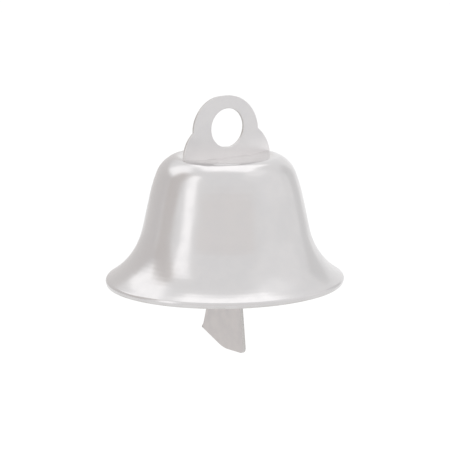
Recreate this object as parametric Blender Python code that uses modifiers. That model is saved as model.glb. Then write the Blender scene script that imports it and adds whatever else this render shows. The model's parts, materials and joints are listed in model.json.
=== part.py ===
"""Small pressed-steel hanging bell: shell, hanger plate and swinging clapper, in metres, +Z up.

The origin is the point of the hanger's eye that bears on whatever the bell hangs from.
The bell's axis is Z, the hanger plate lies in the XZ plane and the clapper blade in the YZ plane.
"""

import math

import bmesh
import bpy
from mathutils import Matrix, Vector

# bell shell, heights measured up from the rim edge
sheet = 0.0008
crown_height = 0.0373
crown_radius = 0.01685
crown_round = 0.0030
slope_drop = 0.0020
slope_radius = 0.0196
slope_round = 0.0085
waist_height = 0.0296
waist_radius = 0.0218
waist_round = 0.040
flare_height = 0.0069
flare_radius = 0.02665
flare_round = 0.0225
mouth_radius = 0.0356
lip_height = 0.0014
lip_round = 0.0010
lip_tuck = 0.0005
around = 72

# hanger plate, heights measured up from the crown
plate_thickness = 0.0008
plate_height = 0.0184
plate_round = 0.0116
foot_half_width = 0.01555
shoulder_round = 0.01035
eye_radius = 0.00575
eye_height = 0.00885

# what holds the plate to the crown and the clapper to the plate
fit_gap = 0.0003
tab_place = 0.0094
tab_width = 0.0045
tab_reach = 0.0026
tab_bend = 0.0005
tab_corner = 0.0006
bend_steps = 5
tongue_width = 0.0080
tongue_corner = 0.0012
link_drop = 0.0009
link_half_width = 0.0019
bridge_height = 0.0020

# clapper: a fan-shaped blade that hangs by an open crook and drops below the rim, its near side towards -Y
blade_thickness = 0.0010
crook_inner = 0.0020
crook_width = 0.0026
crook_tail = math.radians(-80)
blade_drop = 0.0205
near_half_width = 0.0115
far_half_width = 0.0108
near_point = 0.0014
far_point = 0.00305
point_aside = 0.0011
point_round = 0.012
near_corner = 0.0016
far_corner = 0.0003
ear_width = 0.0009
ear_height = 0.00145
ear_round = 0.0015
hang_tilt = math.radians(5.8)

# levels that follow from the sizes
crown_z = -(eye_height + eye_radius)
rim_z = crown_z - crown_height
under_crown_z = crown_z - sheet
crook_outer = crook_inner + crook_width
crook_middle = crook_inner + crook_width / 2
link_top_z = under_crown_z - link_drop
pivot_z = link_top_z - 2 * fit_gap - crook_outer
bridge_top_z = pivot_z + crook_inner - fit_gap
blade_reach = pivot_z - rim_z + blade_drop
point_place = crook_middle + point_aside
blade_length = (blade_reach - point_place * math.sin(hang_tilt)) / math.cos(hang_tilt)
bend_radius = tab_bend + plate_thickness / 2
bend_start = tab_bend - sheet - fit_gap


def clear_scene():
    for obj in list(bpy.data.objects):
        bpy.data.objects.remove(obj, do_unlink=True)


def new_collection(name):
    collection = bpy.data.collections.new(name)
    bpy.context.scene.collection.children.link(collection)
    return collection


def steel(name, color, roughness):
    material = bpy.data.materials.new(name)
    material.use_nodes = True
    shader = material.node_tree.nodes["Principled BSDF"]
    shader.inputs["Base Color"].default_value = (*color, 1)
    shader.inputs["Metallic"].default_value = 1.0
    shader.inputs["Roughness"].default_value = roughness
    return material


def arc(center, radius, start, end, steps):
    """Points on a circle from angle start to angle end, both included."""
    angles = [start + (end - start) * i / steps for i in range(steps + 1)]
    return [Vector((center[0] + radius * math.cos(a), center[1] + radius * math.sin(a))) for a in angles]


def left_of(direction):
    return Vector((-direction.y, direction.x))


def rounded(corners, rounds, arc_step):
    """A line through the corners with each inner one rounded: its points, and each one's left-hand normal."""
    corners = [Vector(corner) for corner in corners]
    runs = [(b - a).normalized() for a, b in zip(corners, corners[1:])]
    points, normals = [corners[0]], [left_of(runs[0])]
    for corner, before, after, radius in zip(corners[1:], runs, runs[1:], rounds):
        turn = math.atan2(before.cross(after), before.dot(after))
        side = math.copysign(1, turn)
        start = corner - before * radius * math.tan(abs(turn) / 2)
        center = start + left_of(before) * side * radius
        steps = max(2, math.ceil(abs(turn) / arc_step))
        for i in range(steps + 1):
            normal = Matrix.Rotation(turn * i / steps, 2) @ left_of(before)
            points.append(center - normal * side * radius)
            normals.append(normal)
    return points + [corners[-1]], normals + [left_of(runs[-1])]


def link_object(name, mesh, collection, material=None):
    obj = bpy.data.objects.new(name, mesh)
    if material:
        mesh.materials.append(material)
    collection.objects.link(obj)
    return obj


def flat_mesh(name, outlines, thickness):
    """A plate of this thickness about the XY plane: the first outline is its edge, the others are holes."""
    curve = bpy.data.curves.new(name, "CURVE")
    curve.dimensions = "2D"
    curve.fill_mode = "BOTH"
    curve.extrude = thickness / 2
    for outline in outlines:
        spline = curve.splines.new("POLY")
        spline.points.add(len(outline) - 1)
        for point, place in zip(spline.points, outline):
            point.co = (place[0], place[1], 0, 1)
        spline.use_cyclic_u = True
    guide = bpy.data.objects.new(name, curve)
    bpy.context.scene.collection.objects.link(guide)
    graph = bpy.context.evaluated_depsgraph_get()
    mesh = bpy.data.meshes.new_from_object(guide.evaluated_get(graph))
    bpy.data.objects.remove(guide)
    work = bmesh.new()
    work.from_mesh(mesh)
    bmesh.ops.remove_doubles(work, verts=work.verts, dist=1e-6)
    work.to_mesh(mesh)
    work.free()
    return mesh


def cut(obj, cutter):
    boolean = obj.modifiers.new(cutter.name, "BOOLEAN")
    boolean.operation = "DIFFERENCE"
    boolean.solver = "EXACT"
    boolean.object = cutter
    cutter.hide_render = True
    cutter.display_type = "WIRE"


def box_mesh(name, size):
    work = bmesh.new()
    bmesh.ops.create_cube(work, size=1)
    bmesh.ops.scale(work, vec=size, verts=work.verts)
    mesh = bpy.data.meshes.new(name)
    work.to_mesh(mesh)
    work.free()
    return mesh


def shell_profile():
    """The sheet's section: down its outer side from the crown's middle, round the rim edge and back up inside."""
    corners = [
        (0, crown_height),
        (crown_radius, crown_height),
        (slope_radius, crown_height - slope_drop),
        (waist_radius, waist_height),
        (flare_radius, flare_height),
        (mouth_radius, lip_height),
        (mouth_radius - lip_tuck, 0),
    ]
    rounds = [crown_round, slope_round, waist_round, flare_round, lip_round]
    outer, normals = rounded(corners, rounds, math.radians(11))
    inner = [point - normal * sheet for point, normal in zip(outer, normals)]
    return outer + inner[::-1]


def make_shell(parts, cutters, material):
    points = shell_profile()
    mesh = bpy.data.meshes.new("bell_shell")
    rows = [(point.x, 0, point.y + rim_z) for point in points]
    mesh.from_pydata(rows, [(i, i + 1) for i in range(len(rows) - 1)], [])
    shell = link_object("bell_shell", mesh, parts, material)
    turned = shell.modifiers.new("turned", "SCREW")
    turned.steps = turned.render_steps = around
    turned.use_merge_vertices = True
    turned.merge_threshold = 1e-5
    turned.use_smooth_shade = True
    slot_depth = plate_thickness + 2 * fit_gap
    slots = {"left_tab_slot": (-tab_place, tab_width), "tongue_slot": (0, tongue_width)}
    slots["right_tab_slot"] = (tab_place, tab_width)
    for name, (place, width) in slots.items():
        mesh = box_mesh(name, (width + 2 * fit_gap, slot_depth, 4 * sheet))
        cutter = link_object(name, mesh, cutters)
        cutter.location = (place, 0, crown_z - sheet / 2)
        cut(shell, cutter)
    return shell


def shoulder_meets_head(foot, head):
    """The point outside both where the circle round the foot center crosses the circle round the head center."""
    apart = head - foot
    along = (shoulder_round**2 - plate_round**2 + apart.length_squared) / (2 * apart.length)
    across = math.sqrt(shoulder_round**2 - along**2)
    direction = apart.normalized()
    return foot + direction * along - left_of(direction) * across


def plate_side():
    """The right half of the plate's edge above the crown, from its foot up to the top."""
    foot = Vector((foot_half_width - shoulder_round, 0))
    head = Vector((0, plate_height - plate_round))
    notch = shoulder_meets_head(foot, head)
    start = math.asin(fit_gap / shoulder_round)
    foot_end = math.atan2(notch.y - foot.y, notch.x - foot.x)
    head_start = math.atan2(notch.y - head.y, notch.x - head.x)
    shoulder = arc(foot, shoulder_round, start, foot_end, 10)
    return shoulder + arc(head, plate_round, head_start, math.pi / 2, 18)[1:]


def link_hole():
    """A slot with a flat floor, which is the bridge that carries the clapper, and a round top."""
    floor = bridge_top_z - crown_z
    spring = link_top_z - link_half_width - crown_z
    top = arc((0, spring), link_half_width, 0, math.pi, 12)
    return [Vector((link_half_width, floor))] + top + [Vector((-link_half_width, floor))]


def mirrored(points):
    return [Vector((-point.x, point.y)) for point in reversed(points)]


def foot_side():
    """The edge of the tongue and of the right tab, from the middle of the tongue's bottom to the plate's foot."""
    half = tongue_width / 2
    bottom = bridge_top_z - bridge_height - crown_z
    tongue = rounded([(0, bottom), (half, bottom), (half, fit_gap)], [tongue_corner], math.radians(30))[0]
    inner, outer = tab_place - tab_width / 2, tab_place + tab_width / 2
    end = bend_start - bend_radius * math.pi / 2 - tab_reach
    corners = [(inner, fit_gap), (inner, end), (outer, end), (outer, fit_gap)]
    return tongue[1:] + rounded(corners, [tab_corner, tab_corner], math.radians(30))[0]


def bend_tabs(mesh):
    """Bends the two tabs under the crown, one to each side of the plate."""
    work = bmesh.new()
    work.from_mesh(mesh)
    for i in range(bend_steps + 1):
        level = bend_start - bend_radius * math.pi / 2 * i / bend_steps
        geometry = work.verts[:] + work.edges[:] + work.faces[:]
        bmesh.ops.bisect_plane(work, geom=geometry, plane_co=(0, level, 0), plane_no=(0, 1, 0), dist=1e-7)
    for vert in work.verts:
        drop = bend_start - vert.co.y
        if drop <= 0 or abs(vert.co.x) < tab_place - 0.51 * tab_width:
            continue
        side = math.copysign(1, vert.co.x)
        turn = min(drop / bend_radius, math.pi / 2)
        radius = bend_radius - side * vert.co.z
        vert.co.y = bend_start - radius * math.sin(turn)
        vert.co.z = side * (bend_radius - radius * math.cos(turn) + drop - bend_radius * turn)
    work.to_mesh(mesh)
    work.free()


def make_hanger(parts, material):
    side = foot_side() + plate_side()
    eye = arc((0, eye_height), eye_radius, 0, math.tau, 48)[:-1]
    mesh = flat_mesh("hanger_plate", [side + mirrored(side)[1:], eye, link_hole()], plate_thickness)
    bend_tabs(mesh)
    mesh.transform(Matrix.Translation((0, 0, crown_z)) @ Matrix.Rotation(math.pi / 2, 4, "X"))
    return link_object("hanger_plate", mesh, parts, material)


def crook_outline():
    """The crook from the neck over the top to its tail: its inner edge, its round end and its outer edge."""
    tail = (crook_middle * math.cos(crook_tail), crook_middle * math.sin(crook_tail))
    inner = arc((0, 0), crook_inner, math.pi, crook_tail, 26)
    end = arc(tail, crook_width / 2, crook_tail - math.pi, crook_tail, 8)[1:-1]
    return inner + end + arc((0, 0), crook_outer, crook_tail, math.pi, 32)


def blade_outline():
    """From the neck's outer edge down the near side, along the pointed bottom and up the far side to the neck.

    The far side spreads into a small ear just above its corner.
    """
    near_x, far_x = -crook_middle - near_half_width, -crook_middle + far_half_width
    near_y, far_y = -blade_length + near_point, -blade_length + far_point
    corners = [
        (-crook_outer, 0),
        (-crook_outer, -crook_outer),
        (near_x, near_y),
        (-point_place, -blade_length),
        (far_x, far_y),
        (far_x - ear_width, far_y + ear_height),
        (-crook_inner, -crook_outer),
        (-crook_inner, 0),
    ]
    rounds = [crook_outer, near_corner, point_round, far_corner, ear_round, crook_outer]
    return rounded(corners, rounds, math.radians(12))[0][1:-1]


def make_clapper(parts, material):
    mesh = flat_mesh("clapper", [blade_outline() + crook_outline()], blade_thickness)
    clapper = link_object("clapper", mesh, parts, material)
    clapper.location = (0, 0, pivot_z)
    clapper.rotation_euler = (math.pi / 2, -hang_tilt, math.pi / 2)
    return clapper


def shade(obj):
    """Smooth on the round faces, with every edge over 30 degrees left sharp."""
    obj.data.shade_smooth()
    obj.data.set_sharp_from_angle(angle=math.radians(30))


def main():
    clear_scene()
    parts = new_collection("cowbell")
    cutters = new_collection("cutters")
    pieces = [
        make_shell(parts, cutters, steel("satin_nickel_shell", (0.72, 0.70, 0.69), 0.28)),
        make_hanger(parts, steel("satin_nickel_plate", (0.70, 0.68, 0.67), 0.38)),
        make_clapper(parts, steel("satin_nickel_clapper", (0.66, 0.64, 0.62), 0.42)),
    ]
    for piece in pieces:
        shade(piece)


main()
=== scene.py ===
import json
import math
import bmesh
import bpy
from mathutils import Matrix, Vector, noise


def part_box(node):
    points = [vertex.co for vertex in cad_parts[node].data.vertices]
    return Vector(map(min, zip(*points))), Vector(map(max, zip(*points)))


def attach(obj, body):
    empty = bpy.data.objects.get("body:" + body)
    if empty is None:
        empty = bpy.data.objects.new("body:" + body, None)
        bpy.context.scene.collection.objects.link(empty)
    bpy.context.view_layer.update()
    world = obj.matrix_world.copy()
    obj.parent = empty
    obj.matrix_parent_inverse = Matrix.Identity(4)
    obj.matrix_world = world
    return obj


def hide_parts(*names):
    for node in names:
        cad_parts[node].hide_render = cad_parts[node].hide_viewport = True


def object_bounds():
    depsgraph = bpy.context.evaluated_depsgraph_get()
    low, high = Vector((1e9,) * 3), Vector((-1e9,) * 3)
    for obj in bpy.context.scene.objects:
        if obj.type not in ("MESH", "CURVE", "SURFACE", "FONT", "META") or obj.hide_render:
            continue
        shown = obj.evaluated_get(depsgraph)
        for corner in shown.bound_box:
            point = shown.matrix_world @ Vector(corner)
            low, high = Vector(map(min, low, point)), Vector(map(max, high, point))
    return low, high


# Small hanging bell in satin nickel-plated steel: a turned shell, a stamped plate with an eye that
# two bent tabs hold to the crown, and a stamped clapper on an open crook.
# Metres, Z up. Whatever the bell hangs from touches the eye at the origin.

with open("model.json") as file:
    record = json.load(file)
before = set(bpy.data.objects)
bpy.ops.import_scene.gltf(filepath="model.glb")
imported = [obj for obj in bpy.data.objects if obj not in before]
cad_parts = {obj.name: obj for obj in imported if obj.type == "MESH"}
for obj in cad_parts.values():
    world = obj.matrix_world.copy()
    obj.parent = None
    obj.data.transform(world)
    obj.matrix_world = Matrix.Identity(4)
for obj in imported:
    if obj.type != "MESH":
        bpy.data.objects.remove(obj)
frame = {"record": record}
cadLow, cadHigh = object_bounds()
shellLow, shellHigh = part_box("bell_shell")
rimZ, crownZ = shellLow.z, shellHigh.z
swing = frame["record"]["behaviour"]["joints"][0]
pivotZ = swing["pos_m"][2]
print("frame loaded: rim, crown and clapper pivot at", [round(z, 4) for z in (rimZ, crownZ, pivotZ)])


viewPlan = {
    "azimuth": -35,
    "elevation": 11.8,
    "distance": 0.7385,
    "lens": 200,
    "aimUp": 0.01704,  # above the rim edge
    "aimAside": -0.0003,
}


def towards(azimuth, elevation):
    # azimuth 0 is the front of the plate (-Y), positive turns to +X
    turn, tilt = math.radians(azimuth), math.radians(elevation)
    return Vector((math.sin(turn) * math.cos(tilt), -math.cos(turn) * math.cos(tilt), math.sin(tilt)))


def placeCamera(plan):
    back = towards(plan["azimuth"], plan["elevation"])
    right = towards(plan["azimuth"] + 90, 0)
    aim = Vector((0, 0, rimZ + plan["aimUp"])) + right * plan["aimAside"]
    data = bpy.data.cameras.new("studioCamera")
    data.lens = plan["lens"]
    camera = bpy.data.objects.new("studioCamera", data)
    bpy.context.collection.objects.link(camera)
    camera.location = aim + back * plan["distance"]
    camera.rotation_mode = "QUATERNION"
    camera.rotation_quaternion = back.to_track_quat("Z", "Y")
    bpy.context.scene.camera = camera


placeCamera(viewPlan)
print("camera placed")


def addNode(tree, kind, settings=None, inputs=None):
    node = tree.nodes.new(kind)
    for name, value in (settings or {}).items():
        setattr(node, name, value)
    for name, value in (inputs or {}).items():
        socket = node.inputs[name]
        if isinstance(value, bpy.types.NodeSocket):
            tree.links.new(value, socket)
        else:
            socket.default_value = value
    return node


def reckon(tree, operation, *values):
    # one Math node, its values numbers or sockets
    return addNode(tree, "ShaderNodeMath", {"operation": operation}, dict(enumerate(values))).outputs[0]


def reckonVector(tree, operation, *values):
    # the same for a Vector Math node; a dot product or a length comes out of its Value
    node = addNode(tree, "ShaderNodeVectorMath", {"operation": operation}, dict(enumerate(values)))
    return node.outputs["Value" if operation in ("DOT_PRODUCT", "LENGTH") else "Vector"]


def easeBetween(tree, value, start, end, low, high):
    inputs = {"Value": value, "From Min": start, "From Max": end, "To Min": low, "To Max": high}
    settings = {"interpolation_type": "SMOOTHSTEP"}
    return addNode(tree, "ShaderNodeMapRange", settings, inputs).outputs["Result"]


def mixColors(tree, share, first, second):
    # by number, as the node has several sockets of each name; these three mix colours
    inputs = {0: share, 6: first, 7: second}
    return addNode(tree, "ShaderNodeMix", {"data_type": "RGBA"}, inputs).outputs[2]


def speckle(tree, place, scale, detail, roughness=0.55):
    inputs = {"Vector": place, "Scale": scale, "Detail": detail, "Roughness": roughness}
    return addNode(tree, "ShaderNodeTexNoise", None, inputs).outputs["Fac"]


shellFinish = {
    "color": (0.618, 0.604, 0.606),
    "cloudColor": (0.606, 0.594, 0.598),
    "roughness": 0.215,
    "roughnessSpread": 0.025,
    "cloudSize": 0.0045,
    "cloudEdges": (0.35, 0.65),  # noise values between which one tone turns into the other
    "grainSize": 0.00022,
    "grainDepth": 0.0000022,
    "waveSize": 0.0065,
    "waveDepth": 0.000030,
    "wornColor": (0.52, 0.505, 0.495),
    "wornRoughness": 0.30,
    "evenWear": 0.45,  # share of the wear that the clouds leave alone
    "paintedHighlightColor": (0.77, 0.755, 0.755),  # painted highlight: a lighter zone round the plate's foot
    "paintedHighlightFrom": -0.0004,  # its lowest level, and where it fades, from the crown up
    "paintedHighlightFade": (0, 0.0010),
    "paintedHighlightRadii": (0.0134, 0.0150),
}
insideFinish = {
    **shellFinish,
    "color": (0.50, 0.485, 0.475),
    "cloudColor": (0.45, 0.44, 0.435),
    "roughness": 0.36,
    "roughnessSpread": 0.08,
    "grainDepth": 0.0000070,
}
plateFinish = {
    **shellFinish,
    "color": (0.640, 0.626, 0.628),
    "cloudColor": (0.628, 0.614, 0.620),
    "roughness": 0.31,
    "roughnessSpread": 0.03,
    "cloudSize": 0.0034,
    "grainDepth": 0.0000040,
    "waveDepth": 0.000010,
    "wornColor": (0.60, 0.588, 0.580),
    "wornRoughness": 0.34,
    # painted highlight: the plate is lighter near its foot
    "paintedHighlightColor": (0.78, 0.76, 0.76),
    "paintedHighlightFrom": -0.0012,
    "paintedHighlightFade": (0, 0.0068),
    "paintedHighlightRadii": (0.0300, 0.0400),
}
clapperFinish = {
    **plateFinish,
    "color": (0.552, 0.522, 0.512),
    "cloudColor": (0.534, 0.508, 0.504),
    "roughness": 0.38,
    "grainDepth": 0.0000060,
    "wornColor": (0.52, 0.49, 0.475),
}
cutEdgeFinish = {
    **plateFinish,
    "color": (0.47, 0.445, 0.43),
    "cloudColor": (0.24, 0.225, 0.215),
    "roughness": 0.44,
    "roughnessSpread": 0.14,
    "cloudSize": 0.00075,
    "grainDepth": 0.000014,
}


def satinNickel(name, finish):
    material = bpy.data.materials.new(name)
    material.use_nodes = True
    tree = material.node_tree
    shader = tree.nodes["Principled BSDF"]
    place = addNode(tree, "ShaderNodeTexCoord").outputs["Object"]
    clouds = speckle(tree, place, 1 / finish["cloudSize"], 4)
    clouds = easeBetween(tree, clouds, *finish["cloudEdges"], 0, 1)
    grain = speckle(tree, place, 1 / finish["grainSize"], 2)
    wear = addNode(tree, "ShaderNodeAttribute", {"attribute_name": "wear"}).outputs["Fac"]
    even = finish["evenWear"]
    patchy = reckon(tree, "MULTIPLY", 1 - even, clouds)
    rubbed = reckon(tree, "MULTIPLY", wear, reckon(tree, "ADD", even, patchy))
    platingAndPaintedHighlight = mixColors(tree, clouds, (*finish["color"], 1), (*finish["cloudColor"], 1))

    # painted highlight: the colour is lighter near the plate's foot, standing in for the bright
    # reflection there
    spot = addNode(tree, "ShaderNodeSeparateXYZ", None, {"Vector": place}).outputs
    above = reckon(tree, "GREATER_THAN", spot["Z"], crownZ + finish["paintedHighlightFrom"])
    low = easeBetween(tree, spot["Z"], *(crownZ + level for level in finish["paintedHighlightFade"]), 1, 0)
    flat = reckonVector(tree, "MULTIPLY", place, (1, 1, 0))
    away = reckonVector(tree, "LENGTH", flat)
    near = easeBetween(tree, away, *finish["paintedHighlightRadii"], 1, 0)
    paintedHighlight = reckon(tree, "MULTIPLY", reckon(tree, "MULTIPLY", above, low), near)
    platingAndPaintedHighlight = mixColors(tree, paintedHighlight, platingAndPaintedHighlight, (*finish["paintedHighlightColor"], 1))
    color = mixColors(tree, rubbed, platingAndPaintedHighlight, (*finish["wornColor"], 1))
    tree.links.new(color, shader.inputs["Base Color"])

    # dull and shiny patches, with a finer speck over them, and duller where it is worn
    spread = reckon(tree, "SUBTRACT", clouds, 0.5)
    spread = reckon(tree, "MULTIPLY", spread, 2 * finish["roughnessSpread"])
    specks = reckon(tree, "MULTIPLY", reckon(tree, "SUBTRACT", grain, 0.5), finish["roughnessSpread"])
    plain = reckon(tree, "ADD", finish["roughness"], reckon(tree, "ADD", spread, specks))
    wornStep = finish["wornRoughness"] - finish["roughness"]
    rough = reckon(tree, "ADD", plain, reckon(tree, "MULTIPLY", rubbed, wornStep))
    tree.links.new(rough, shader.inputs["Roughness"])
    shader.inputs["Metallic"].default_value = 1

    # a slow waviness of the sheet, and the grain of the plating
    wave = speckle(tree, place, 1 / finish["waveSize"], 1)
    inputs = {"Height": wave, "Strength": 1, "Distance": finish["waveDepth"]}
    slow = addNode(tree, "ShaderNodeBump", None, inputs).outputs["Normal"]
    inputs = {"Height": grain, "Strength": 1, "Distance": finish["grainDepth"], "Normal": slow}
    fine = addNode(tree, "ShaderNodeBump", None, inputs)
    tree.links.new(fine.outputs["Normal"], shader.inputs["Normal"])
    return material


shellOutside = satinNickel("satinNickelOutside", shellFinish)
shellInside = satinNickel("dullNickelInside", insideFinish)
plateFace = satinNickel("satinNickelPlate", plateFinish)
clapperFace = satinNickel("satinNickelClapper", clapperFinish)
cutEdge = satinNickel("shearedSteelEdge", cutEdgeFinish)
print("nickel finishes mixed")


def leftOf(direction):
    return Vector((-direction.y, direction.x))


def bow(center, radius, start, end, longest):
    # points round an arc, none further apart than the longest step
    steps = max(2, math.ceil(abs(end - start) * radius / longest))
    angles = [start + (end - start) * i / steps for i in range(steps + 1)]
    middle = Vector(center)
    return [middle + Vector((radius * math.cos(a), radius * math.sin(a))) for a in angles]


def roundedLine(corners, rounds, turnStep):
    # the line through the corners, the inner ones rounded: its points, and what lies left of each
    corners = [Vector(corner) for corner in corners]
    runs = [(b - a).normalized() for a, b in zip(corners, corners[1:])]
    points, sides = [corners[0]], [leftOf(runs[0])]
    for corner, before, after, radius in zip(corners[1:], runs, runs[1:], rounds):
        turn = math.atan2(before.cross(after), before.dot(after))
        hand = math.copysign(1, turn)
        start = corner - before * radius * math.tan(abs(turn) / 2)
        center = start + leftOf(before) * hand * radius
        steps = max(3, math.ceil(abs(turn) / turnStep))
        for i in range(steps + 1):
            side = Matrix.Rotation(turn * i / steps, 2) @ leftOf(before)
            points.append(center - side * hand * radius)
            sides.append(side)
    return points + [corners[-1]], sides + [leftOf(runs[-1])]


def filledIn(points, longest):
    # more points where two neighbours stand too far apart
    made = []
    for a, b in zip(points, points[1:]):
        steps = max(1, math.ceil((b - a).length / longest))
        made += [a.lerp(b, i / steps) for i in range(steps)]
    return made + [points[-1]]


def newObject(name, mesh):
    obj = bpy.data.objects.new(name, mesh)
    bpy.context.collection.objects.link(obj)
    return obj


def plainMesh(name, guide):
    # the guide with its modifiers worked out, as an ordinary mesh object
    graph = bpy.context.evaluated_depsgraph_get()
    mesh = bpy.data.meshes.new_from_object(guide.evaluated_get(graph))
    bpy.data.objects.remove(guide)
    mesh.name = name
    return newObject(name, mesh)


creaseAngle = math.radians(34)  # an edge that turns more than this stays sharp
flatFaceWeight = 60


def finishPiece(piece, node, body):
    mesh = piece.data
    mesh.shade_smooth()
    mesh.set_sharp_from_angle(angle=creaseAngle)
    weighted = piece.modifiers.new("flatFacesStayFlat", "WEIGHTED_NORMAL")
    weighted.keep_sharp = True
    weighted.weight = flatFaceWeight
    piece = plainMesh(piece.name, piece)
    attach(piece, body)
    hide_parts(node)
    return piece


shellSizes = {
    "sheet": 0.0008,
    "dishRadius": 0.0085,  # the crown's middle lies a little below the ring round it
    "dishRound": 0.008,
    "ringRadius": 0.0156,
    "ringRise": 0.00088,
    "ringRound": 0.005,
    "shoulderRadius": 0.0196,
    "shoulderDrop": 0.0020,
    "shoulderRound": 0.0085,
    "waistHeight": 0.0296,
    "waistRadius": 0.0218,
    "waistRound": 0.040,
    "flareHeight": 0.0069,
    "flareRadius": 0.02665,
    "flareRound": 0.0225,
    "mouthRadius": 0.0356,
    "lipHeight": 0.0014,
    "lipRound": 0.0010,
    "lipTuck": 0.0005,
    "edgeRound": 0.00018,
    "edgeSteps": 4,
    "turnStep": math.radians(4),
    "longestStep": 0.00065,
    "sides": 224,
    "rippleHeight": 0.00016,  # how far the pressing strays from true
    "rippleSize": 0.016,
    "mouthDrift": 0.00040,  # the mouth sits this far off the crown's middle
    "mouthTip": 0.00038,  # and hangs this much lower on one side
    "wornDepth": 0.0011,
    "seed": 7.3,
}


def shellSection(sizes):
    # down the outer side from the crown's middle, round the rim edge and back up inside
    sheet, small = sizes["sheet"], sizes["edgeRound"]
    rim = sizes["mouthRadius"] - sizes["lipTuck"]
    corners = [
        (0, crownZ),
        (sizes["dishRadius"], crownZ),
        (sizes["ringRadius"], crownZ + sizes["ringRise"]),
        (sizes["shoulderRadius"], crownZ - sizes["shoulderDrop"]),
        (sizes["waistRadius"], rimZ + sizes["waistHeight"]),
        (sizes["flareRadius"], rimZ + sizes["flareHeight"]),
        (sizes["mouthRadius"], rimZ + sizes["lipHeight"]),
        (rim, rimZ),
    ]
    bends = ("dish", "ring", "shoulder", "waist", "flare", "lip")
    rounds = [sizes[name + "Round"] for name in bends]
    outer, sides = roundedLine(corners, rounds, sizes["turnStep"])
    out, down = sides[-1], Vector((sides[-1].y, -sides[-1].x))
    inner = [point - side * sheet for point, side in zip(outer, sides)][::-1]
    outerCenter = outer[-1] - down * small - out * small
    innerCenter = inner[0] - down * small + out * small
    quarter = [math.pi / 2 * i / sizes["edgeSteps"] for i in range(sizes["edgeSteps"] + 1)]
    outerEdge = [outerCenter + (out * math.cos(a) + down * math.sin(a)) * small for a in quarter]
    innerEdge = [innerCenter + (down * math.cos(a) - out * math.sin(a)) * small for a in quarter]
    outside = filledIn(outer[:-1] + outerEdge, sizes["longestStep"])
    inside = filledIn(innerEdge + inner[1:], sizes["longestStep"])
    return outside + inside, len(outside)


weldDistance = 2e-6  # closes the seam where the turned sheet meets itself
rowMargin = 0.75  # the face after the last outside row takes the inside finish


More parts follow.
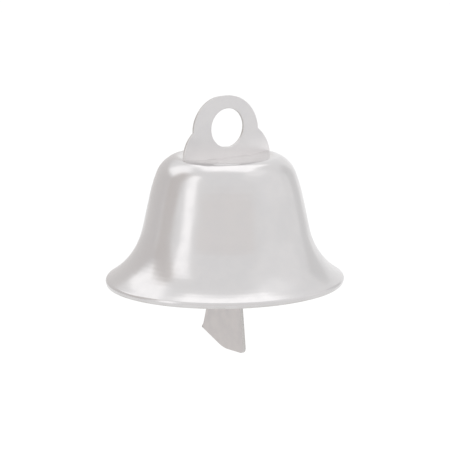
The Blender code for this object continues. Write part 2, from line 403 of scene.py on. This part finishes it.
def turningTree():
    tree = bpy.data.node_groups.new("turnTheSection", "GeometryNodeTree")
    sockets = {
        "Section": "NodeSocketGeometry",
        "Sides": "NodeSocketInt",
        "Outside Points": "NodeSocketInt",
        "Ripple Height": "NodeSocketFloat",
        "Ripple Size": "NodeSocketFloat",
        "Seed": "NodeSocketFloat",
        "Rim Level": "NodeSocketFloat",
        "Crown Level": "NodeSocketFloat",
        "Steady Radius": "NodeSocketFloat",
        "Worn Depth": "NodeSocketFloat",
        "Mouth Drift": "NodeSocketVector",
        "Mouth Tip": "NodeSocketFloat",
        "Outside Finish": "NodeSocketMaterial",
        "Inside Finish": "NodeSocketMaterial",
    }
    for name, kind in sockets.items():
        tree.interface.new_socket(name, in_out="INPUT", socket_type=kind)
    tree.interface.new_socket("Shell", in_out="OUTPUT", socket_type="NodeSocketGeometry")
    given = addNode(tree, "NodeGroupInput").outputs

    # a flat sheet of quads, one column for each side and one row for each section point
    count = addNode(tree, "GeometryNodeAttributeDomainSize", None, {"Geometry": given["Section"]})
    rows = count.outputs["Point Count"]
    columns = reckon(tree, "ADD", given["Sides"], 1)
    inputs = {"Size X": 1, "Size Y": 1, "Vertices X": columns, "Vertices Y": rows}
    sheet = addNode(tree, "GeometryNodeMeshGrid", None, inputs)
    place = addNode(tree, "GeometryNodeInputPosition").outputs[0]
    flat = addNode(tree, "ShaderNodeSeparateXYZ", None, {"Vector": place}).outputs
    angle = reckon(tree, "MULTIPLY", reckon(tree, "ADD", flat["X"], 0.5), math.tau)
    last = reckon(tree, "SUBTRACT", rows, 1)
    row = reckon(tree, "MULTIPLY", reckon(tree, "ADD", flat["Y"], 0.5), last)
    row = reckon(tree, "ROUND", row)
    kept = addNode(tree, "GeometryNodeCaptureAttribute", None, {"Geometry": sheet.outputs["Mesh"]})
    kept.capture_items.new("FLOAT", "Row")
    tree.links.new(row, kept.inputs["Row"])
    keptRow = kept.outputs["Row"]

    # each row takes its radius and level from the section
    settings = {"data_type": "FLOAT_VECTOR", "domain": "POINT"}
    inputs = {"Geometry": given["Section"], "Index": row}
    sample = addNode(tree, "GeometryNodeSampleIndex", settings, inputs)
    tree.links.new(place, sample.inputs["Value"])
    spot = addNode(tree, "ShaderNodeSeparateXYZ", None, {"Vector": sample.outputs["Value"]}).outputs
    inputs = {"X": reckon(tree, "COSINE", angle), "Y": reckon(tree, "SINE", angle), "Z": 0.0}
    spoke = addNode(tree, "ShaderNodeCombineXYZ", None, inputs).outputs[0]
    rise = addNode(tree, "ShaderNodeCombineXYZ", None, {"Z": spot["Z"]}).outputs[0]

    # the pressing is a little out of round, and the mouth a little off the middle
    body = reckonVector(tree, "ADD", reckonVector(tree, "MULTIPLY", spoke, spot["X"]), rise)
    scale = reckon(tree, "DIVIDE", 1, given["Ripple Size"])
    inputs = {"Vector": body, "W": given["Seed"], "Scale": scale, "Detail": 1}
    stray = addNode(tree, "ShaderNodeTexNoise", {"noise_dimensions": "4D"}, inputs)
    rippled = reckon(tree, "MULTIPLY", given["Steady Radius"], 2)
    steady = easeBetween(tree, spot["X"], given["Steady Radius"], rippled, 0, 1)
    swell = reckon(tree, "SUBTRACT", stray.outputs["Fac"], 0.5)
    swell = reckon(tree, "MULTIPLY", swell, given["Ripple Height"])
    swell = reckon(tree, "MULTIPLY", reckon(tree, "MULTIPLY", swell, 2), steady)
    radius = reckon(tree, "ADD", spot["X"], swell)
    inputs = {"Value": spot["Z"], "From Min": given["Crown Level"], "From Max": given["Rim Level"]}
    depth = addNode(tree, "ShaderNodeMapRange", None, inputs).outputs["Result"]
    drop = reckon(tree, "POWER", depth, 4)
    drift = reckonVector(tree, "MULTIPLY", given["Mouth Drift"], drop)
    turned = reckonVector(tree, "ADD", reckonVector(tree, "MULTIPLY", spoke, radius), rise)
    way = reckonVector(tree, "NORMALIZE", given["Mouth Drift"])
    tip = reckonVector(tree, "DOT_PRODUCT", way, spoke)
    tip = reckon(tree, "MULTIPLY", reckon(tree, "MULTIPLY", tip, given["Mouth Tip"]), drop)
    lean = addNode(tree, "ShaderNodeCombineXYZ", None, {"Z": tip}).outputs[0]
    moved = reckonVector(tree, "SUBTRACT", reckonVector(tree, "ADD", turned, drift), lean)
    inputs = {"Geometry": kept.outputs["Geometry"], "Position": moved}
    shaped = addNode(tree, "GeometryNodeSetPosition", None, inputs)

    # wear runs from the rim edge up both sides
    fresh = reckon(tree, "ADD", given["Rim Level"], given["Worn Depth"])
    high = easeBetween(tree, spot["Z"], given["Rim Level"], fresh, 1, 0)
    settings = {"data_type": "FLOAT", "domain": "POINT"}
    inputs = {"Geometry": kept.outputs["Geometry"], "Name": "wear", "Value": high}
    worn = addNode(tree, "GeometryNodeStoreNamedAttribute", settings, inputs)
    tree.links.new(worn.outputs["Geometry"], shaped.inputs["Geometry"])

    inputs = {"Geometry": shaped.outputs[0], "Distance": weldDistance}
    closed = addNode(tree, "GeometryNodeMergeByDistance", None, inputs)
    real = addNode(tree, "GeometryNodeRealizeInstances", None, {"Geometry": closed.outputs[0]})
    inputs = {"Geometry": real.outputs[0], "Material": given["Outside Finish"]}
    coated = addNode(tree, "GeometryNodeSetMaterial", None, inputs)
    turnPoint = reckon(tree, "SUBTRACT", given["Outside Points"], rowMargin)
    inside = reckon(tree, "GREATER_THAN", keptRow, turnPoint)
    inputs = {"Geometry": coated.outputs[0], "Selection": inside, "Material": given["Inside Finish"]}
    lined = addNode(tree, "GeometryNodeSetMaterial", None, inputs)
    out = addNode(tree, "NodeGroupOutput")
    tree.links.new(lined.outputs[0], out.inputs["Shell"])
    return tree


def giveInputs(modifier, values):
    sockets = {item.name: item.identifier for item in modifier.node_group.interface.items_tree}
    for name, value in values.items():
        modifier[sockets[name]] = value


def slotCutter(name, place, width, depth):
    height = 6 * shellSizes["sheet"]  # well past both faces of the crown
    work = bmesh.new()
    bmesh.ops.create_cube(work, size=1)
    bmesh.ops.scale(work, vec=(width, depth, height), verts=work.verts)
    bmesh.ops.translate(work, vec=(place, 0, crownZ), verts=work.verts)
    mesh = bpy.data.meshes.new(name)
    work.to_mesh(mesh)
    work.free()
    return newObject(name, mesh)


def makeShell(sizes, plate):
    points, outsideCount = shellSection(sizes)
    mesh = bpy.data.meshes.new("shellSection")
    links = [(i, i + 1) for i in range(len(points) - 1)]
    mesh.from_pydata([(p.x, 0, p.y) for p in points], links, [])
    guide = newObject("shellSection", mesh)
    turned = guide.modifiers.new("turned", "NODES")
    turned.node_group = turningTree()
    drift = towards(viewPlan["azimuth"] - 90, 0) * sizes["mouthDrift"]
    giveInputs(turned, {
        "Sides": sizes["sides"],
        "Outside Points": outsideCount,
        "Ripple Height": sizes["rippleHeight"],
        "Ripple Size": sizes["rippleSize"],
        "Seed": sizes["seed"],
        "Rim Level": rimZ,
        "Crown Level": crownZ,
        "Steady Radius": sizes["dishRadius"],
        "Worn Depth": sizes["wornDepth"],
        "Mouth Drift": drift,
        "Mouth Tip": sizes["mouthTip"],
        "Outside Finish": shellOutside,
        "Inside Finish": shellInside,
    })
    room = 2 * plate["slotRoom"]
    tab = plate["tabWidth"]
    slots = [(-plate["tabPlace"], tab), (0, plate["tongueWidth"]), (plate["tabPlace"], tab)]
    cutters = []
    for place, width in slots:
        cutters.append(slotCutter("slotCutter", place, width + room, plate["thickness"] + room))
        slot = guide.modifiers.new("slot", "BOOLEAN")
        slot.operation = "DIFFERENCE"
        slot.solver = "EXACT"
        slot.object = cutters[-1]
    shell = plainMesh("bellShell", guide)
    for cutter in cutters:
        bpy.data.objects.remove(cutter)
    return finishPiece(shell, "bell_shell", "bell")


plateSizes = {
    "thickness": 0.0008,
    "height": 0.0184,
    "rightFootHalfWidth": 0.01580,
    "leftFootHalfWidth": 0.01510,
    "rightShoulderRound": 0.01180,
    "leftShoulderRound": 0.00960,
    "rightShoulderLevel": -0.0015,  # the middle of each shoulder's circle, from the crown up
    "leftShoulderLevel": 0.0010,
    "footUpright": 0.0007,  # the sides stand upright this far before they turn in
    "rightHeadRound": 0.0112,  # the two sides of the head differ a little
    "rightHeadAside": 0.0001,
    "leftHeadRound": 0.0099,
    "leftHeadAside": -0.0018,
    "eyeRadius": 0.00575,
    "eyeHeight": 0.00885,
    "eyeAside": 0.0003,
    "tabPlace": 0.0094,
    "tabWidth": 0.0045,
    "tabReach": 0.0026,
    "tabBend": 0.0005,
    "tabCorner": 0.0006,
    "bendSteps": 8,
    "tongueWidth": 0.0080,
    "tongueCorner": 0.0012,
    "linkHalfWidth": 0.0019,
    "linkDrop": 0.0009,
    "linkCorner": 0.0004,
    "bridgeHeight": 0.0020,
    "slotRoom": 0.00003,
    "fitGap": 0.0003,
    "seating": -0.00013,  # the foot's rounded edge bites this far into the crown
    "outlineStep": 0.00032,
    "straightStep": 4 * 0.00032,
    "tabTurnStep": math.radians(15),
    "linkTurnStep": math.radians(20),
}
clapperSizes = {
    "thickness": 0.0010,
    "crookInner": 0.0020,
    "crookWidth": 0.0026,
    "crookTail": math.radians(-80),
    "bladeDrop": 0.0205,
    "nearHalfWidth": 0.0115,
    "farHalfWidth": 0.0108,
    "nearPoint": 0.0014,
    "farPoint": 0.00305,
    "pointAside": 0.0011,
    "pointRound": 0.012,
    "nearCorner": 0.0016,
    "farCorner": 0.0003,
    "earWidth": 0.0009,
    "earHeight": 0.00145,
    "earRound": 0.0015,
    "tilt": math.radians(5.8),
    "outlineStep": 0.00032,
    "straightStep": 4 * 0.00032,
    "turnStep": math.radians(6),
}
edgeSizes = {
    "wornBand": 0.00042,
    "rollOver": 0.00013,  # the rounded edge on the side that the punch entered
    "rollSteps": 3,
    "burnish": 0.35,  # share of the thickness that the punch left smooth
    "tear": 0.000028,  # how far the torn part stands back
    "tearRough": 0.000012,
    "tearGrain": 0.00035,
    "tearSteps": 3,
    "burr": 0.00004,
    "wear": {"brink": 0.55, "roll": 0.9, "burnish": 0.7, "tear": 1, "burr": 0.6},
    "leastCosine": 0.6,  # keeps a sharp corner's inset under 1.7 times a straight edge's
}


def cutProfile(thickness, sizes):
    # (inset, height, wear) from one face over the cut edge to the other face
    half, roll, burr = thickness / 2, sizes["rollOver"], sizes["burr"]
    wear = sizes["wear"]
    rows = [(sizes["wornBand"], half, 0), (roll, half, wear["brink"])]
    for i in range(1, sizes["rollSteps"] + 1):
        a = math.pi / 2 * i / sizes["rollSteps"]
        level = half - roll * (1 - math.cos(a))
        rows.append((roll * (1 - math.sin(a)), level, wear["roll"]))
    torn = half - roll - sizes["burnish"] * thickness
    rows.append((0, torn, wear["burnish"]))
    low = -half + burr
    for i in range(1, sizes["tearSteps"] + 1):
        share = i / sizes["tearSteps"]
        inset = sizes["tear"] * math.sin(share * math.pi / 2)
        rows.append((inset, torn + (low - torn) * share, wear["tear"]))
    rows.append((sizes["tear"] + burr, -half, wear["burr"]))
    rows.append((sizes["wornBand"], -half, 0))
    return rows


def inwardSides(outline, leastCosine):
    # for each point the way into the metal, left of the outline, longer at a sharp corner
    made = []
    earlier, later = outline[-1:] + outline[:-1], outline[1:] + outline[:1]
    for before, here, after in zip(earlier, outline, later):
        first = leftOf((here - before).normalized())
        second = leftOf((after - here).normalized())
        middle = (first + second).normalized()
        made.append(middle / max(leastCosine, middle.dot(first)))
    return made


def stampedPlate(name, outlines, thickness, sizes, materials):
    # the first outline turns left and each hole turns right, so the metal lies left of both
    work = bmesh.new()
    wear = work.verts.layers.float.new("wear")
    rows = cutProfile(thickness, sizes)
    endRings = [[], []]
    for outline in outlines:
        sides = inwardSides(outline, sizes["leastCosine"])
        rings = []
        for inset, height, worn in rows:
            rough = sizes["tearRough"] if worn == sizes["wear"]["tear"] else 0
            ring = []
            for point, side in zip(outline, sides):
                grain = Vector((point.x, point.y, height)) / sizes["tearGrain"]
                spot = point + side * (inset + noise.noise(grain) * rough)
                vert = work.verts.new((spot.x, spot.y, height))
                vert[wear] = worn
                ring.append(vert)
            rings.append(ring)
        for level, (upper, lower) in enumerate(zip(rings, rings[1:])):
            for i in range(len(outline)):
                j = (i + 1) % len(outline)
                face = work.faces.new((upper[i], upper[j], lower[j], lower[i]))
                cut = 1 + sizes["rollSteps"] <= level < len(rows) - 2
                face.material_index = 1 if cut else 0
        for kept, ring in zip(endRings, (rings[0], rings[-1])):
            kept += [work.edges.get(pair) for pair in zip(ring, ring[1:] + ring[:1])]
    for edges, up in zip(endRings, (1, -1)):
        bmesh.ops.triangle_fill(work, use_beauty=True, edges=edges, normal=(0, 0, up))
    bmesh.ops.recalc_face_normals(work, faces=work.faces)
    mesh = bpy.data.meshes.new(name)
    work.to_mesh(mesh)
    work.free()
    for material in materials:
        mesh.materials.append(material)
    return mesh


def plateOutline(sizes):
    # turning left from the foot's right corner, over the head and down to its left corner
    made = []
    for side, hand in (("right", 1), ("left", -1)):
        headRound, shoulderRound = sizes[side + "HeadRound"], sizes[side + "ShoulderRound"]
        foot = Vector((sizes[side + "FootHalfWidth"] - shoulderRound, sizes[side + "ShoulderLevel"]))
        head = Vector((hand * sizes[side + "HeadAside"], sizes["height"] - headRound))
        apart = head - foot
        along = (shoulderRound**2 - headRound**2 + apart.length_squared) / (2 * apart.length)
        across = math.sqrt(shoulderRound**2 - along**2)
        notch = foot + apart.normalized() * along - leftOf(apart.normalized()) * across
        footEnd = math.atan2(notch.y - foot.y, notch.x - foot.x)
        headStart = math.atan2(notch.y - head.y, notch.x - head.x)
        start = math.asin(max(0, (sizes["footUpright"] - foot.y) / shoulderRound))
        shoulder = bow(foot, shoulderRound, start, footEnd, sizes["outlineStep"])
        corner = Vector((shoulder[0].x, sizes["seating"]))
        shoulder = filledIn([corner, shoulder[0]], sizes["outlineStep"])[:-1] + shoulder
        crest = bow(head, headRound, headStart, math.pi / 2, sizes["outlineStep"])
        made.append([Vector((hand * p.x, p.y)) for p in shoulder[:-1] + crest])
    right, left = made[0], made[1][::-1]
    flatTop = filledIn([right[-1], left[0]], sizes["outlineStep"])[1:-1]
    return right + flatTop + left


def footOutline(sizes, bendStart, bendRadius, bridgeTop):
    # from the foot's left corner rightwards under the plate: left tab, tongue, right tab
    half, seat = sizes["tongueWidth"] / 2, sizes["seating"]
    inner = sizes["tabPlace"] - sizes["tabWidth"] / 2
    outer = sizes["tabPlace"] + sizes["tabWidth"] / 2
    end = bendStart - bendRadius * math.pi / 2 - sizes["tabReach"]
    bottom = bridgeTop - sizes["bridgeHeight"]
    shapes = [
        ([(-outer, seat), (-outer, end), (-inner, end), (-inner, seat)], sizes["tabCorner"]),
        ([(-half, seat), (-half, bottom), (half, bottom), (half, seat)], sizes["tongueCorner"]),
        ([(inner, seat), (inner, end), (outer, end), (outer, seat)], sizes["tabCorner"]),
    ]
    made = []
    for corners, corner in shapes:
        points = roundedLine(corners, [corner, corner], sizes["tabTurnStep"])[0]
        made += filledIn(points, sizes["straightStep"])
    return made


def linkHole(sizes, bridgeTop, linkTop):
    # the slot that the clapper's crook hangs through, on a flat floor with small rounded corners
    half, corner = sizes["linkHalfWidth"], sizes["linkCorner"]
    spring = linkTop - half
    top = bow((0, spring), half, 0, math.pi, sizes["outlineStep"])
    floor = [(-half, spring), (-half, bridgeTop), (half, bridgeTop), (half, spring)]
    bottom = roundedLine(floor, [corner, corner], sizes["linkTurnStep"])[0][1:-1]
    return (top + bottom)[::-1]


cutTolerance = 1e-8


def bendTabs(mesh, sizes, bendStart, bendRadius):
    # one tab turns under the crown to the front and the other to the back
    work = bmesh.new()
    work.from_mesh(mesh)
    for i in range(sizes["bendSteps"] + 1):
        level = bendStart - bendRadius * math.pi / 2 * i / sizes["bendSteps"]
        cut = {"plane_co": (0, level, 0), "plane_no": (0, 1, 0), "dist": cutTolerance}
        geometry = work.verts[:] + work.edges[:] + work.faces[:]
        bmesh.ops.bisect_plane(work, geom=geometry, **cut)
    tabsFrom = sizes["tabPlace"] - 0.51 * sizes["tabWidth"]  # a hair inside their inner sides
    for vert in work.verts:
        drop = bendStart - vert.co.y
        if drop <= 0 or abs(vert.co.x) < tabsFrom:
            continue
        hand = math.copysign(1, vert.co.x)
        turn = min(drop / bendRadius, math.pi / 2)
        radius = bendRadius - hand * vert.co.z
        vert.co.y = bendStart - radius * math.sin(turn)
        vert.co.z = hand * (bendRadius - radius * math.cos(turn) + drop - bendRadius * turn)
    work.to_mesh(mesh)
    work.free()


def makePlate(sizes, clapper):
    bridgeTop = pivotZ + clapper["crookInner"] - sizes["fitGap"] - crownZ
    linkTop = -shellSizes["sheet"] - sizes["linkDrop"]
    bendRadius = sizes["tabBend"] + sizes["thickness"] / 2
    bendStart = sizes["tabBend"] - shellSizes["sheet"] - sizes["fitGap"]
    outer = plateOutline(sizes) + footOutline(sizes, bendStart, bendRadius, bridgeTop)
    eyeMiddle = (sizes["eyeAside"], sizes["eyeHeight"])
    eye = bow(eyeMiddle, sizes["eyeRadius"], math.tau, 0, sizes["outlineStep"])[:-1]
    outlines = [outer, eye, linkHole(sizes, bridgeTop, linkTop)]
    materials = (plateFace, cutEdge)
    mesh = stampedPlate("hangerPlate", outlines, sizes["thickness"], edgeSizes, materials)
    bendTabs(mesh, sizes, bendStart, bendRadius)
    mesh.transform(Matrix.Translation((0, 0, crownZ)) @ Matrix.Rotation(math.pi / 2, 4, "X"))
    return finishPiece(newObject("hangerPlate", mesh), "hanger_plate", "bell")


def clapperOutline(sizes):
    # turning left from the neck's outer side: the fan blade, then both edges of the crook
    inner, width, tail = sizes["crookInner"], sizes["crookWidth"], sizes["crookTail"]
    outer, middle = inner + width, inner + width / 2
    place = middle + sizes["pointAside"]
    reach = pivotZ - rimZ + sizes["bladeDrop"]
    length = (reach - place * math.sin(sizes["tilt"])) / math.cos(sizes["tilt"])
    nearX, farX = -middle - sizes["nearHalfWidth"], -middle + sizes["farHalfWidth"]
    nearY, farY = -length + sizes["nearPoint"], -length + sizes["farPoint"]
    corners = [
        (-outer, 0),
        (-outer, -outer),
        (nearX, nearY),
        (-place, -length),
        (farX, farY),
        (farX - sizes["earWidth"], farY + sizes["earHeight"]),
        (-inner, -outer),
        (-inner, 0),
    ]
    bends = ("nearCorner", "pointRound", "farCorner", "earRound")
    rounds = [outer, *(sizes[name] for name in bends), outer]
    blade = roundedLine(corners, rounds, sizes["turnStep"])[0][1:-1]
    blade = filledIn(blade, sizes["straightStep"])
    end = (middle * math.cos(tail), middle * math.sin(tail))
    crook = bow((0, 0), inner, math.pi, tail, sizes["outlineStep"])[1:]
    crook += bow(end, width / 2, tail - math.pi, tail, sizes["outlineStep"])[1:-1]
    crook += bow((0, 0), outer, tail, math.pi, sizes["outlineStep"])[:-1]
    return blade + crook


def makeClapper(sizes):
    outlines, materials = [clapperOutline(sizes)], (clapperFace, cutEdge)
    mesh = stampedPlate("clapperBlade", outlines, sizes["thickness"], edgeSizes, materials)
    stand = Matrix.Rotation(math.pi / 2, 4, "Z") @ Matrix.Rotation(-sizes["tilt"], 4, "Y")
    mesh.transform(Matrix.Translation((0, 0, pivotZ)) @ stand @ Matrix.Rotation(math.pi / 2, 4, "X"))
    return finishPiece(newObject("clapperBlade", mesh), "clapper", "clapper")


shell = makeShell(shellSizes, plateSizes)
print("shell turned:", len(shell.data.polygons), "faces")
plate = makePlate(plateSizes, clapperSizes)
print("hanger plate stamped:", len(plate.data.polygons), "faces")
clapper = makeClapper(clapperSizes)
print("clapper stamped:", len(clapper.data.polygons), "faces")


studioPlan = {
    "floorSize": 8.0,
    "floorDrop": 0.45,  # below the clapper, as the bell hangs
    "floorColor": (0.965, 0.965, 0.965),
    "paperFibre": 60,
    "fibreShare": 0.3,
    "paperRoughness": 0.9,
    "paperGloss": 0.1,
    "airColor": (1.0, 1.0, 1.0),
    "airStrength": 1.06,
}
# every softbox and flag faces the bell: aim is the degrees sideways from the camera and up,
# size is the width and height, roll turns the panel in its own plane
softboxes = {
    "overheadSoftbox": {"aim": (176, 68), "size": (1.02, 1.00), "power": 1.7},
    "rearLeftSoftbox": {"aim": (-122, 42), "size": (0.66, 0.72), "power": 0.64},
    "stripSoftbox": {"aim": (-60.5, 27), "size": (0.38, 1.30), "power": 0.74, "roll": 15},
    "upperRightSoftbox": {"aim": (92, 60), "size": (0.60, 0.50), "power": 0.12},
    "rightFillSoftbox": {"aim": (80, 38), "size": (1.30, 1.50), "power": 0.30},
}
flags = {
    "rearLeftFlag": {"aim": (-142, 9), "size": (2.3, 0.95), "tint": (0.79, 0.77, 0.76)},
    "leftFlag": {"aim": (-92, 23), "size": (0.72, 1.62), "tint": (0.78, 0.75, 0.73)},
    "rightFlag": {"aim": (136, 10), "size": (0.62, 1.1), "tint": (0.84, 0.84, 0.84)},
    "frontFlag": {"aim": (0, 16), "size": (2.6, 0.55), "tint": (0.965, 0.945, 0.935)},
}
panelDistance = 1.3
flagFeather = 0.35  # share of a flag's half width over which it fades out


def facingBell(plan):
    # the place and turn of a panel that faces the middle of the bell
    sideways, up = plan["aim"]
    back = towards(viewPlan["azimuth"] + sideways, up)
    turn = back.to_track_quat("Z", "Y").to_matrix().to_4x4()
    roll = Matrix.Rotation(math.radians(plan.get("roll", 0)), 4, "Z")
    middle = Vector((0, 0, (rimZ + crownZ) / 2))
    return Matrix.Translation(middle + back * panelDistance) @ turn @ roll


def hangSoftbox(name, plan):
    data = bpy.data.lights.new(name, "AREA")
    data.shape = "RECTANGLE"
    data.size, data.size_y = plan["size"]
    data.energy = plan["power"]
    lamp = bpy.data.objects.new(name, data)
    bpy.context.collection.objects.link(lamp)
    lamp.matrix_world = facingBell(plan)
    lamp.visible_camera = False


def hangFlag(name, plan):
    # a thin sheet of grey gel with soft edges, which only takes light out of the reflections
    half = [side / 2 for side in plan["size"]]
    corners = [(x * half[0], y * half[1], 0) for x, y in ((-1, -1), (1, -1), (1, 1), (-1, 1))]
    mesh = bpy.data.meshes.new(name)
    mesh.from_pydata(corners, [], [(0, 1, 2, 3)])
    flag = newObject(name, mesh)
    flag.matrix_world = facingBell(plan)
    flag.visible_camera = flag.visible_diffuse = flag.visible_shadow = False
    material = bpy.data.materials.new(name)
    material.use_nodes = True
    tree = material.node_tree
    tree.nodes.remove(tree.nodes["Principled BSDF"])
    place = addNode(tree, "ShaderNodeTexCoord").outputs["Object"]
    spot = addNode(tree, "ShaderNodeSeparateXYZ", None, {"Vector": place}).outputs
    fades = []
    for axis, reach in zip("XY", half):
        away = reckon(tree, "ABSOLUTE", spot[axis])
        fades.append(easeBetween(tree, away, reach * (1 - flagFeather), reach, 1, 0))
    tint = mixColors(tree, reckon(tree, "MULTIPLY", *fades), (1, 1, 1, 1), (*plan["tint"], 1))
    gel = addNode(tree, "ShaderNodeBsdfTransparent", None, {"Color": tint})
    tree.links.new(gel.outputs[0], tree.nodes["Material Output"].inputs["Surface"])
    mesh.materials.append(material)


def paleFloor(plan):
    place = (0, 0, cadLow.z - plan["floorDrop"])
    bpy.ops.mesh.primitive_plane_add(size=plan["floorSize"], location=place)
    floor = bpy.context.object
    floor.name = "studioFloor"
    material = bpy.data.materials.new("palePaper")
    material.use_nodes = True
    tree = material.node_tree
    shader = tree.nodes["Principled BSDF"]
    place = addNode(tree, "ShaderNodeTexCoord").outputs["Object"]
    fibre = speckle(tree, place, plan["paperFibre"], 3)
    fibre = reckon(tree, "MULTIPLY", fibre, plan["fibreShare"])
    paper = mixColors(tree, fibre, (*plan["floorColor"], 1), (1, 1, 1, 1))
    tree.links.new(paper, shader.inputs["Base Color"])
    shader.inputs["Roughness"].default_value = plan["paperRoughness"]
    shader.inputs["Specular IOR Level"].default_value = plan["paperGloss"]
    floor.data.materials.append(material)


def softAir(plan):
    world = bpy.data.worlds.new("studioAir")
    world.use_nodes = True
    background = world.node_tree.nodes["Background"]
    background.inputs["Color"].default_value = (*plan["airColor"], 1)
    background.inputs["Strength"].default_value = plan["airStrength"]
    bpy.context.scene.world = world
    bpy.context.scene.view_settings.view_transform = "Standard"


paleFloor(studioPlan)
softAir(studioPlan)
for name, plan in softboxes.items():
    hangSoftbox(name, plan)
for name, plan in flags.items():
    hangFlag(name, plan)
print("studio set:", len(softboxes), "softboxes,", len(flags), "flags")
